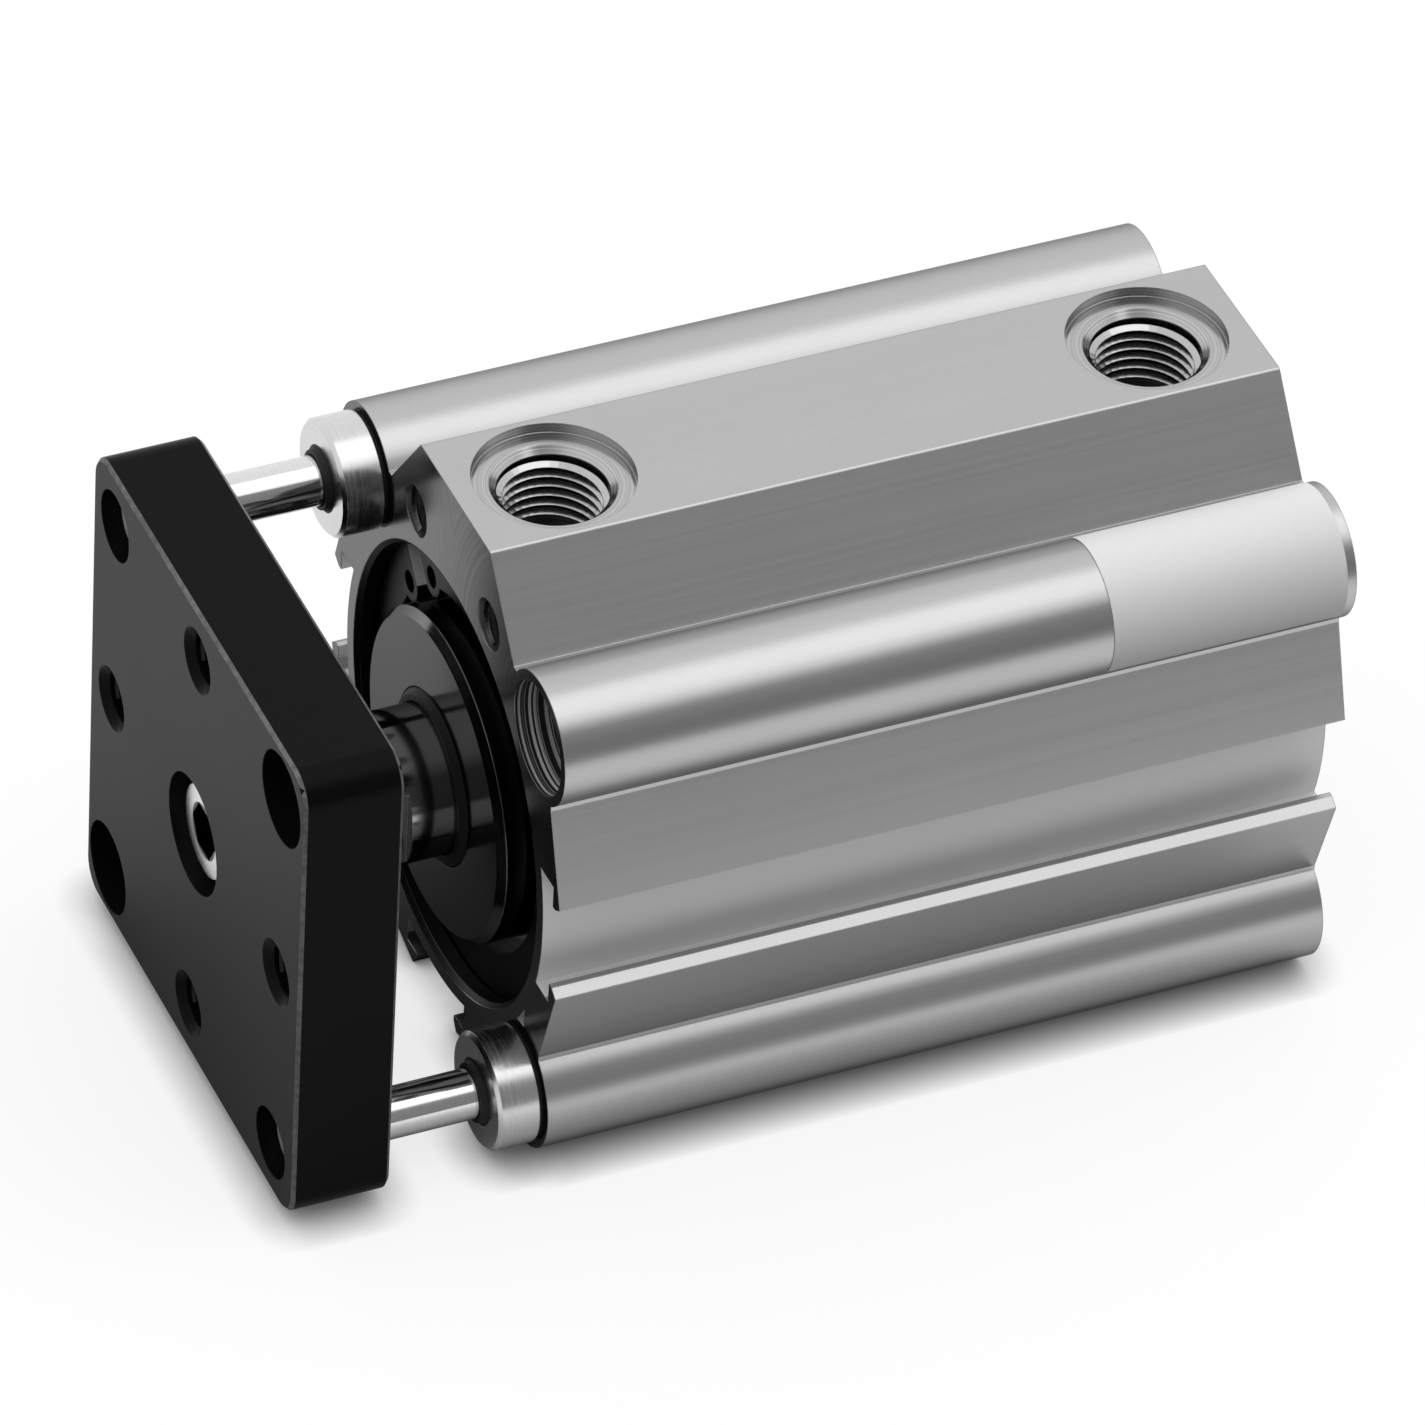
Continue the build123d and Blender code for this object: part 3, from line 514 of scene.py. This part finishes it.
# Painted shade: the rod's tone is darker than chrome.
dress(turned_finish("chromed_rod", 0.34, (0.07, 0.13), 0.001, glance=DARK_GLANCE), "piston_rod")
screw = turned_finish("socket_screw", 0.85, (0.16, 0.32), 0.006, density=3500.0, core=ROD_SCREW_SOCKET_PAINTED_SHADE)
dress(screw, "rod_screw", "piston_screw")
bearing_finish = turned_finish("sintered_bearing", 0.45, (0.35, 0.55), 0.004, warmth=BRONZE_WARMTH)
dress(bearing_finish, "rod_bearing")
for side, axis in LOBE_AXES.items():
    bush = turned_finish(f"turned_bush_{side}", 0.66, (0.16, 0.34), 0.01, axis)
    guide_rod = turned_finish(f"chromed_guide_rod_{side}", 0.72, (0.05, 0.12), 0.001, axis)
    liner = turned_finish(f"liner_{side}", 0.45, (0.3, 0.5), 0.004, axis, warmth=BRONZE_WARMTH)
    screw = turned_finish(f"small_screw_{side}", 0.8, (0.35, 0.5), 0.006, axis, core=GUIDE_SCREW_SOCKET_PAINTED_SHADE)
    dress(bush, f"guide_bush_{side}")
    dress(guide_rod, f"guide_rod_{side}")
    dress(liner, f"guide_liner_{side}")
    dress(screw, f"guide_rod_screw_{side}")
print("guide pieces turned about", [[round(side / MM, 1) for side in axis] for axis in LOBE_AXES.values()])

# %% [markdown]
# Black anodised aluminium looks black because the dye sits in a clear oxide layer: almost no colour
# comes back, and what is seen is the room on the layer's skin. So it is not a metal to the shader.
# A low specular level and a fair roughness keep that skin soft, and the milled tooth breaks it up.
# The bevels round the plate, which are a thin pale line in the photograph, are rubbed, and their
# lighter grey is partly a painted highlight. Two places are lighter: the bevels round the plate,
# which are a thin pale line in the photograph, and the ends of the circlips, which are guessed to
# be sheared and bare. The ends of the circlips at the gap carry a painted highlight.

# %% Black finishes
RIM_WIDTH = 0.75 * MM
BEVEL_LEAN = (0.3, 0.95)
CIRCLIP_GAP = (math.radians(131), 1.2 * MM)
# Painted highlight: the grey of the strip at each circlip's gap.
GAP_HIGHLIGHT_TONE = 0.75


def rim_wear_and_highlight(tree, place):
    """Rubbed patches on the bevels round the plate, partly a painted highlight. The lean of the face's own
    normal finds a bevel, and the reach from the axis leaves out the mouths of the holes."""
    geometry = tree.nodes.new("ShaderNodeNewGeometry")
    lean = math_node(tree, "ABSOLUTE", split(tree, geometry.outputs["True Normal"])["X"])
    parts = split(tree, place)
    reach = either_of(tree, *[math_node(tree, "ABSOLUTE", parts[side]) for side in ("Y", "Z")])
    rim = math_node(tree, "GREATER_THAN", reach, PLATE_HIGH[1] - RIM_WIDTH)
    rub = marks(tree, SATIN_GRAIN, place, Scale=1400.0, Cloud_Scale=260.0)
    return math_node(tree, "MULTIPLY", both_of(tree, between(tree, lean, *BEVEL_LEAN), rim), rub)


def painted_gap_highlight(tree, place, angle, half_width):
    """The strip on either side of a ring's gap, where a highlight is painted; the gap lies at an angle
    from +Y towards +Z.
    """
    parts = split(tree, place)
    y_share, z_share = [math_node(tree, "MULTIPLY", parts[side], math.cos(angle)) for side in ("Y", "Z")]
    y_rest, z_rest = [math_node(tree, "MULTIPLY", parts[side], math.sin(angle)) for side in ("Y", "Z")]
    outward = math_node(tree, "ADD", y_share, z_rest)
    sideways = math_node(tree, "SUBTRACT", z_share, y_rest)
    strip = between(tree, sideways, -half_width, half_width)
    return both_of(tree, strip, math_node(tree, "GREATER_THAN", outward, 0.0))


def black_finish(name, tone, roughness, specular, depth, scale=5200.0, worn=0.0, gap=None):
    """A dark skin with a fine tooth, for anodising, oxide and rubber. Worn is the grey of a rubbed
    rim that is partly a painted highlight, gap the angle and half width of a ring's gap, where a highlight
    is painted, and depth the tooth's height in millimetres."""
    material, tree, shader, place = blank_finish(name)
    grain = marks(tree, SATIN_GRAIN, place, Scale=scale, Cloud_Scale=70.0)
    colour = mix_greys(tree, grain, grey(tone * 0.6), grey(tone * 1.5))
    if worn:
        colour = mix_greys(tree, rim_wear_and_highlight(tree, place), colour, grey(worn))
    if gap:
        colour = mix_greys(tree, painted_gap_highlight(tree, place, *gap), colour, grey(GAP_HIGHLIGHT_TONE))
    tree.links.new(colour, shader.inputs["Base Color"])
    tree.links.new(mix_numbers(tree, grain, *roughness), shader.inputs["Roughness"])
    set_value(shader.inputs["Specular IOR Level"], specular)
    normal = bump(tree, grain, 0.3, depth * MM, softened_edges(tree, 0.15 * MM))
    tree.links.new(normal, shader.inputs["Normal"])
    return material


dress(black_finish("black_anodised", 0.004, (0.26, 0.38), 0.05, 0.012, worn=0.3), "front_plate")
ring_finish = black_finish("black_oxide", 0.004, (0.3, 0.45), 0.06, 0.006, gap=CIRCLIP_GAP)
dress(ring_finish, "front_circlip", "rear_circlip")
rubber = black_finish("nitrile_rubber", 0.014, (0.5, 0.7), 0.3, 0.01, scale=3000.0)
dress(
    rubber,
    "front_cover_seal",
    "rear_cover_seal",
    "rod_seal",
    "rod_wiper",
    "guide_wiper_upper",
    "guide_wiper_lower",
    "guide_gasket_upper",
    "guide_gasket_lower",
    "piston_seal_front",
    "piston_seal_rear",
    "piston_static_seal",
)
dress(black_finish("magnet_compound", 0.03, (0.5, 0.65), 0.4, 0.008), "piston_magnet")


def plastic_finish(name, colour):
    """Pale moulded plastic with a slight mottle."""
    material, tree, shader, place = blank_finish(name)
    grain = marks(tree, SATIN_GRAIN, place, Scale=2500.0, Cloud_Scale=120.0)
    darker = tuple(channel * 0.9 for channel in colour)
    tree.links.new(mix_greys(tree, grain, darker, colour), shader.inputs["Base Color"])
    tree.links.new(mix_numbers(tree, grain, 0.4, 0.55), shader.inputs["Roughness"])
    tree.links.new(bump(tree, grain, 0.2, 0.01 * MM), shader.inputs["Normal"])
    return material


cast_polymer = plastic_finish("cast_polymer", (0.72, 0.68, 0.55))
dress(cast_polymer, "front_bumper", "rear_bumper", "piston_guide_ring")
print("dressed", sum(1 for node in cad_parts.values() if node.data.materials), "nodes")

# %% [markdown]
# A thread is a ridge that climbs round the wall of its hole. In the CAD each tapped hole is plain, at
# about its core size, so the ridge is added here. It stands inwards from that wall, which makes its
# crest narrower than a real thread's. The Spin operator makes it in one go: a small triangle is spun
# about the hole's axis, and the step vector lifts it by one pitch in each turn.

# %% One thread ridge
THREAD_STEPS = 40
RIDGE_PEAK, RIDGE_END = 0.36, 0.68
RIDGE_ROOT = 0.03 * MM


def spin_ridge(radius, pitch, depth, length):
    """One ridge as a mesh: it climbs the Z axis, and its foot is at the origin."""
    bm = bmesh.new()
    turns = length / pitch - 1
    root = radius + RIDGE_ROOT
    corners = [(root, 0, 0), (radius - depth, 0, pitch * RIDGE_PEAK), (root, 0, pitch * RIDGE_END)]
    start = [bm.verts.new(corner) for corner in corners]
    ridge = bm.faces.new(start)
    bmesh.ops.spin(
        bm,
        geom=[*start, *ridge.edges, ridge],
        cent=(0, 0, 0),
        axis=(0, 0, 1),
        dvec=(0, 0, pitch / THREAD_STEPS),
        angle=2 * math.pi * turns,
        steps=int(THREAD_STEPS * turns),
        use_merge=False,
        use_duplicate=False,
    )
    bmesh.ops.recalc_face_normals(bm, faces=bm.faces)
    mesh = bpy.data.meshes.new("ridge")
    bm.to_mesh(mesh)
    bm.free()
    return mesh


print("a ridge has", THREAD_STEPS, "steps in each turn")

# %% [markdown]
# Holes of one kind share a piece. Each ridge is turned from the Z axis to the way its hole points,
# and moved so that it ends just inside the mouth. The faces stay flat-shaded, because the crest of a
# thread is sharp.

# %% Threads in their holes


def thread_piece(name, holes, thread, body, material):
    """One piece for several holes: each is its mouth, the axis that points out of it, and its length."""
    bm = bmesh.new()
    for mouth, axis, length in holes:
        ridge = spin_ridge(**thread, length=length)
        known = len(bm.verts)
        bm.from_mesh(ridge)
        bpy.data.meshes.remove(ridge)
        turn = Vector((0, 0, 1)).rotation_difference(Vector(axis)).to_matrix().to_4x4()
        foot = Matrix.Translation(Vector(mouth) - Vector(axis) * length)
        bmesh.ops.transform(bm, matrix=foot @ turn, verts=bm.verts[known:])
    mesh = bpy.data.meshes.new(name)
    bm.to_mesh(mesh)
    bm.free()
    piece = bpy.data.objects.new(name, mesh)
    bpy.context.collection.objects.link(piece)
    mesh.materials.append(material)
    for polygon in mesh.polygons:
        polygon.use_smooth = False
    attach(piece, body)
    print(name, len(mesh.polygons), "faces")


thread_metal = turned_finish("cut_thread", 0.5, (0.14, 0.24), 0.004)
black_thread_metal = black_finish("black_thread", 0.012, (0.3, 0.45), 0.1, 0.006)
# Painted shade: the threads in the screw channels and lobes get a darker tone than cut metal.
shaded_thread_metal = turned_finish("shaded_thread", 0.2, (0.2, 0.32), 0.004)
UP, FORWARD, BACKWARD = (0, 0, 1), (1, 0, 0), (-1, 0, 0)
PORT_MOUTH = PLATFORM_TOP - 1.5 * MM
CHANNEL_Y, CHANNEL_Z = 7.2 * MM, 20.3 * MM
FRONT_THREAD, REAR_THREAD = 12 * MM, 16 * MM
COUNTERBORE_FLOOR = -6 * MM
PLATE_MOUTH, PLATE_SPARE = 0.7 * MM, 0.9 * MM
port_thread = {"radius": PORT_BORE, "pitch": 0.907 * MM, "depth": 0.5 * MM}
small_thread = {"radius": 2.1 * MM, "pitch": 0.8 * MM, "depth": 0.35 * MM}
lobe_thread = {"radius": 2.6 * MM, "pitch": 1.0 * MM, "depth": 0.4 * MM}

port_holes = [((port, 0, PORT_MOUTH), UP, PORT_MOUTH - PORT_FLOOR) for port in PORTS]
channel_holes = [
    ((end, across, CHANNEL_Z), way, FRONT_THREAD)
    for end, way in ((0, FORWARD), (BODY_REAR, BACKWARD))
    for across in (-CHANNEL_Y, CHANNEL_Y)
]
front_lobes = [((COUNTERBORE_FLOOR, side, side), FORWARD, FRONT_THREAD) for side in (LOBE, -LOBE)]
rear_lobes = [
    ((BODY_REAR, across, up), BACKWARD, REAR_THREAD) for across in (-LOBE, LOBE) for up in (-LOBE, LOBE)
]
plate_depth = PLATE_HIGH[0] - PLATE_LOW[0] - PLATE_SPARE
plate_holes = [
    ((PLATE_HIGH[0] - PLATE_MOUTH, across, up), FORWARD, plate_depth)
    for across, up in ((LOBE, 0), (-LOBE, 0), (0, LOBE), (0, -LOBE))
]

thread_piece("port_threads", port_holes, port_thread, "housing", thread_metal)
for name, holes, thread in (
    ("channel_threads", channel_holes, small_thread),
    ("lobe_threads", front_lobes + rear_lobes, lobe_thread),
):
    thread_piece(name, holes, thread, "housing", shaded_thread_metal)
thread_piece("plate_threads", plate_holes, small_thread, "slide", black_thread_metal)

# %% [markdown]
# The label is a bare white film, stuck round one lobe at its rear end. It is less than a tenth of a
# millimetre thick, so it is made here and not in the CAD. A single edge along X is spun about the
# lobe's axis, which makes a strip that hugs the metal, and Solidify gives it the film's thickness.

# %% Bare label
LABEL_FRONT, LABEL_REAR = -44.8 * MM, BODY_REAR + 0.8 * MM
LABEL_RADIUS = 5.32 * MM
LABEL_FILM = 0.07 * MM
LABEL_TOP, LABEL_FOOT = math.radians(124), math.radians(-30)
LABEL_STEPS = 56


def label_finish():
    material, tree, shader, place = blank_finish("bare_label_film")
    grain = marks(tree, SATIN_GRAIN, place, Scale=2200.0, Cloud_Scale=60.0)
    tree.links.new(mix_greys(tree, grain, grey(0.76), grey(0.84)), shader.inputs["Base Color"])
    tree.links.new(mix_numbers(tree, grain, 0.42, 0.55), shader.inputs["Roughness"])
    tree.links.new(bump(tree, grain, 0.15, 0.01 * MM), shader.inputs["Normal"])
    return material


def label_piece():
    bm = bmesh.new()
    height = LOBE + LABEL_RADIUS * math.sin(LABEL_TOP)
    across = LOBE + LABEL_RADIUS * math.cos(LABEL_TOP)
    ends = [bm.verts.new((x, across, height)) for x in (LABEL_FRONT, LABEL_REAR)]
    edge = bm.edges.new(ends)
    bmesh.ops.spin(
        bm,
        geom=[*ends, edge],
        cent=(0, LOBE, LOBE),
        axis=(-1, 0, 0),
        angle=LABEL_TOP - LABEL_FOOT,
        steps=LABEL_STEPS,
        use_merge=False,
        use_duplicate=False,
    )
    bmesh.ops.recalc_face_normals(bm, faces=bm.faces)
    lobe_axis = Vector((0, LOBE, LOBE))
    outward = sum((face.calc_center_median() - lobe_axis).dot(face.normal) for face in bm.faces)
    if outward < 0:
        bmesh.ops.reverse_faces(bm, faces=bm.faces)
    bmesh.ops.solidify(bm, geom=bm.faces[:], thickness=-LABEL_FILM)
    mesh = bpy.data.meshes.new("bare_label")
    bm.to_mesh(mesh)
    bm.free()
    piece = bpy.data.objects.new("bare_label", mesh)
    bpy.context.collection.objects.link(piece)
    mesh.materials.append(label_finish())
    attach(piece, "housing")
    return piece


label = label_piece()
print("label", round((LABEL_FRONT - LABEL_REAR) / MM, 1), "mm long,", len(label.data.polygons), "faces")

# %% [markdown]
# The floor is one sheet under the lowest point of the body. Its own grey is dark, but it glows for
# the rays that come from the camera, from mirrors and through glass, which Light Path tells apart.
# So the ground looks white, in a mirror too, and yet hardly lights what is matt. Ambient Occlusion
# takes the glow away close to the cylinder and so leaves the shadow where it touches down. What
# metal mirrors is a choice, made to match the photograph and not any real table: a wider and deeper
# shadow than the camera sees, and a floor that fades far off on the camera's side. Without that, the
# flanks that face down came out as bright as those that face up.

# %% Floor
FLOOR_SIZE = 3.0
FLOOR_TONE = 0.22
FLOOR_LIFT = 0.8
SEEN_SHADE = (3.5 * MM, 1.5)
MIRRORED_SHADE = (30 * MM, 2.0)
FLOOR_FADE = (130 * MM, 230 * MM)
FADED = 0.2


def contact_shade(tree, reach, strength):
    """1 on open floor, and towards 0 where something stands within reach."""
    contact = tree.nodes.new("ShaderNodeAmbientOcclusion")
    contact.samples = 8
    contact.inputs["Distance"].default_value = reach
    return math_node(tree, "POWER", contact.outputs["AO"], strength)


def far_fade(tree, along, limits):
    """1 up to the nearer limit, and softly down to FADED at the farther one."""
    fade = tree.nodes.new("ShaderNodeMapRange")
    fade.interpolation_type = "SMOOTHSTEP"
    tree.links.new(along, fade.inputs["Value"])
    for name, value in zip(("From Min", "From Max", "To Min", "To Max"), (*limits, 1.0, FADED)):
        fade.inputs[name].default_value = value
    return fade.outputs["Result"]


def floor_finish():
    material = bpy.data.materials.new("pale_floor")
    material.use_nodes = True
    tree = material.node_tree
    tree.nodes.clear()
    output = tree.nodes.new("ShaderNodeOutputMaterial")
    matt = tree.nodes.new("ShaderNodeBsdfDiffuse")
    glow = tree.nodes.new("ShaderNodeEmission")
    both = tree.nodes.new("ShaderNodeAddShader")
    path = tree.nodes.new("ShaderNodeLightPath")
    place = tree.nodes.new("ShaderNodeTexCoord")
    camera_ray = path.outputs["Is Camera Ray"]
    seen = either_of(tree, camera_ray, path.outputs["Is Glossy Ray"])
    seen = either_of(tree, seen, path.outputs["Is Transmission Ray"])

    mirrored, direct = [contact_shade(tree, *shade) for shade in (MIRRORED_SHADE, SEEN_SHADE)]
    shade = mix_numbers(tree, camera_ray, mirrored, direct)
    along = split(tree, place.outputs["Object"])["Y"]
    sheet = either_of(tree, far_fade(tree, along, FLOOR_FADE), camera_ray)
    tree.links.new(math_node(tree, "MULTIPLY", sheet, FLOOR_TONE), matt.inputs["Color"])
    lift = math_node(tree, "MULTIPLY", math_node(tree, "MULTIPLY", shade, sheet), FLOOR_LIFT)
    tree.links.new(math_node(tree, "MULTIPLY", seen, lift), glow.inputs["Strength"])
    tree.links.new(matt.outputs[0], both.inputs[0])
    tree.links.new(glow.outputs[0], both.inputs[1])
    tree.links.new(both.outputs[0], output.inputs["Surface"])
    return material


def floor_piece():
    bm = bmesh.new()
    bmesh.ops.create_grid(bm, x_segments=1, y_segments=1, size=FLOOR_SIZE / 2)
    bmesh.ops.translate(bm, vec=(0, 0, CAD_BOX[0][2]), verts=bm.verts)
    mesh = bpy.data.meshes.new("floor")
    bm.to_mesh(mesh)
    bm.free()
    floor = bpy.data.objects.new("floor", mesh)
    bpy.context.collection.objects.link(floor)
    mesh.materials.append(floor_finish())
    return floor


floor = floor_piece()
print("floor", FLOOR_SIZE, "m wide at", round(floor.data.vertices[0].co.z / MM, 1), "mm")

# %% [markdown]
# Bright metal has no look of its own: it shows the room. This room is bright overhead and on most
# sides, and has one soft dark opening at the horizon on the camera's side. That gives each round
# lobe a white top and a dark flank. The brightness follows one number, how far a direction leans
# towards the dark side, so a dot product and a colour ramp are all it takes. One large lamp overhead
# adds the soft shadow on the floor.

# %% Room and lamps
DARK_SIDE = (0, 0.9945, 0.1045)
ROOM_STEPS = [(-1.0, 1.05), (0.2, 1.0), (0.48, 0.92), (0.68, 0.55), (0.79, 0.29), (1.0, 0.25)]


def soft_room():
    world = bpy.data.worlds.new("soft_room")
    bpy.context.scene.world = world
    world.use_nodes = True
    tree = world.node_tree
    tree.nodes.clear()
    output = tree.nodes.new("ShaderNodeOutputWorld")
    room = tree.nodes.new("ShaderNodeBackground")
    place = tree.nodes.new("ShaderNodeTexCoord")
    lean = tree.nodes.new("ShaderNodeVectorMath")
    lean.operation = "DOT_PRODUCT"
    lean.inputs[1].default_value = DARK_SIDE
    ramp = tree.nodes.new("ShaderNodeValToRGB")
    tree.links.new(place.outputs["Generated"], lean.inputs[0])
    height = math_node(tree, "ADD", math_node(tree, "MULTIPLY", lean.outputs["Value"], 0.5), 0.5)
    tree.links.new(height, ramp.inputs["Fac"])
    elements = ramp.color_ramp.elements
    while len(elements) < len(ROOM_STEPS):
        elements.new(0.5)
    for element, (position, tone) in zip(elements, ROOM_STEPS):
        element.position = (position + 1) / 2
        element.color = (tone, tone, tone, 1)
    tree.links.new(ramp.outputs["Color"], room.inputs["Color"])
    tree.links.new(room.outputs[0], output.inputs["Surface"])


def soft_box(name, place, aim, size, power):
    """A square area lamp that looks at a point."""
    lamp = bpy.data.lights.new(name, "AREA")
    lamp.shape = "SQUARE"
    lamp.size = size
    lamp.energy = power
    box = bpy.data.objects.new(name, lamp)
    bpy.context.collection.objects.link(box)
    way = Vector(aim) - Vector(place)
    box.matrix_world = Matrix.Translation(place) @ way.to_track_quat("-Z", "Y").to_matrix().to_4x4()
    return box


soft_room()
overhead = soft_box("overhead_box", (-0.36, 0.24, 0.9), (-0.02, 0, 0), 0.8, 1.6)
bpy.context.scene.view_settings.view_transform = "Standard"
print("one lamp,", overhead.data.size, "m wide, in a room of", len(ROOM_STEPS), "tones")

# %% [markdown]
# The camera was found from the photograph: the plate's corners, the ports and the ends of the body
# fix where it stood. A long lens from a metre away keeps the long edges almost parallel.

# %% Camera
CAMERA_AZIMUTH = 154.65
CAMERA_ELEVATION = 39.77
CAMERA_ROLL = 3.39
CAMERA_AIM = (-22.2 * MM, 0.2 * MM, -0.1 * MM)
CAMERA_DISTANCE = 994.4 * MM
CAMERA_LENS = 327.7
SENSOR_WIDTH = 36


def camera_like_photo():
    around, above, roll = (math.radians(a) for a in (CAMERA_AZIMUTH, CAMERA_ELEVATION, CAMERA_ROLL))
    back = Vector(
        (math.sin(around) * math.cos(above), -math.cos(around) * math.cos(above), math.sin(above))
    )
    level = (-back).cross(Vector((0, 0, 1))).normalized()
    upright = level.cross(-back)
    right = level * math.cos(roll) + upright * math.sin(roll)
    up = upright * math.cos(roll) - level * math.sin(roll)
    spot = Vector(CAMERA_AIM) + back * CAMERA_DISTANCE
    lens = bpy.data.cameras.new("camera")
    lens.lens = CAMERA_LENS
    lens.sensor_width = SENSOR_WIDTH
    lens.clip_start = 50 * MM
    camera = bpy.data.objects.new("camera", lens)
    bpy.context.collection.objects.link(camera)
    turn = Matrix((right, up, back)).transposed().to_4x4()
    camera.matrix_world = Matrix.Translation(spot) @ turn
    bpy.context.scene.camera = camera
    return camera


camera = camera_like_photo()
print("camera at", [round(c, 3) for c in camera.matrix_world.translation])
